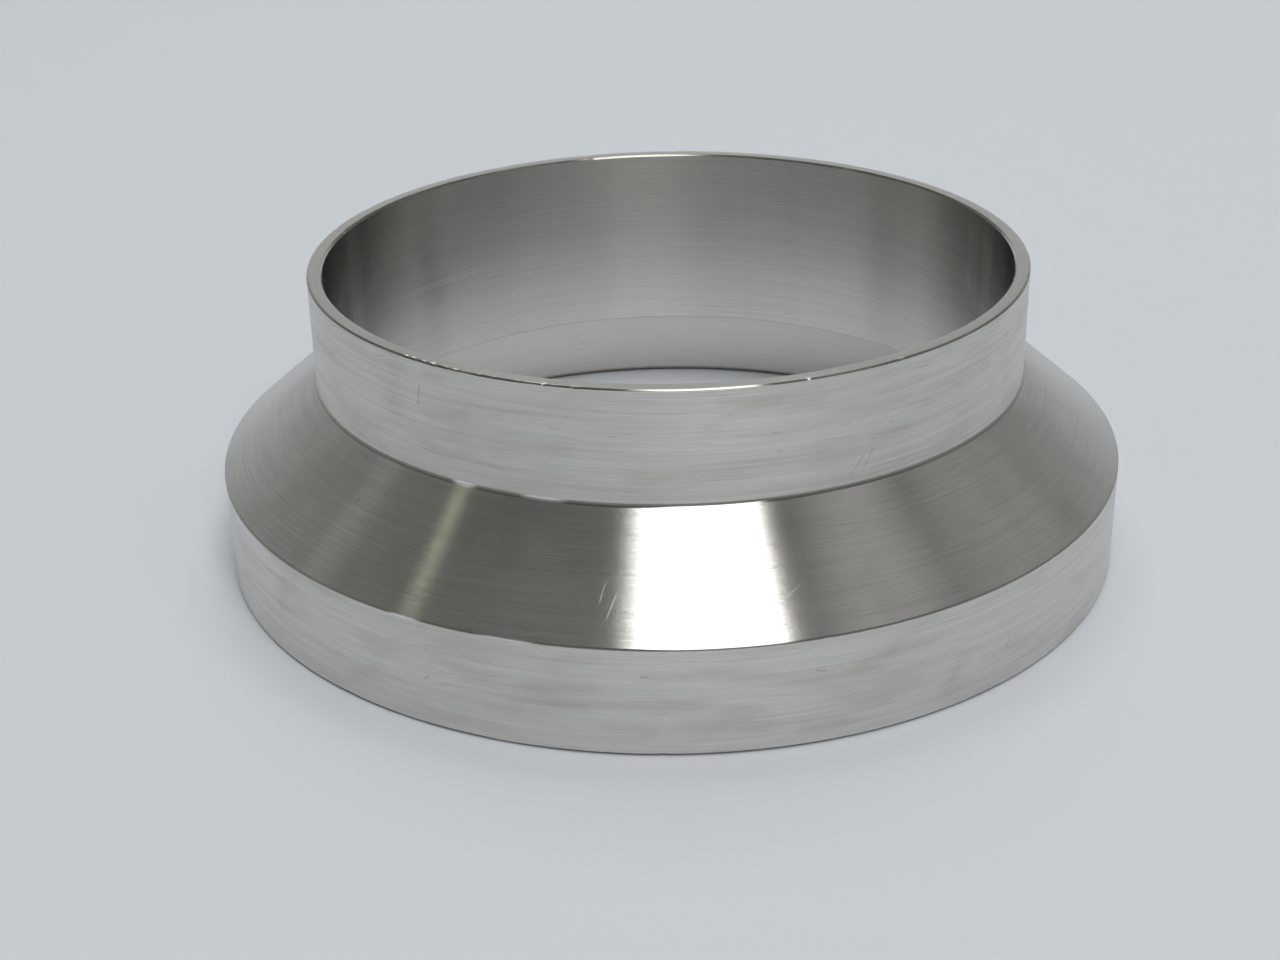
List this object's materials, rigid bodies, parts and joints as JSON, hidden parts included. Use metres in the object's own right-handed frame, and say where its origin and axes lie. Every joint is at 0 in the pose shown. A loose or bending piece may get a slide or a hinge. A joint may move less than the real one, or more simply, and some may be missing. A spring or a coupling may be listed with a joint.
{
  "type": "sanitary clamp ferrule",
  "caption": "Heavy clamp ferrule for sanitary tubing: a turned steel ring with a thin weld neck, a conical clamp shoulder, a plain rim and a conical inner seat.",
  "frame": {"origin": "centre of the bottom (sealing) face, on the axis", "axes": "+Z along the axis, from the sealing face up to the weld neck; the ferrule is round, so X and Y are free"},
  "size_m": [0.1298, 0.1298, 0.0423],
  "materials": {
    "stainless": "lathe-turned and lightly polished, satin on the neck and rim, brighter on the shoulder"
  },
  "bodies": {
    "root": {"ferrule": "stainless"}
  },
  "joints": []
}
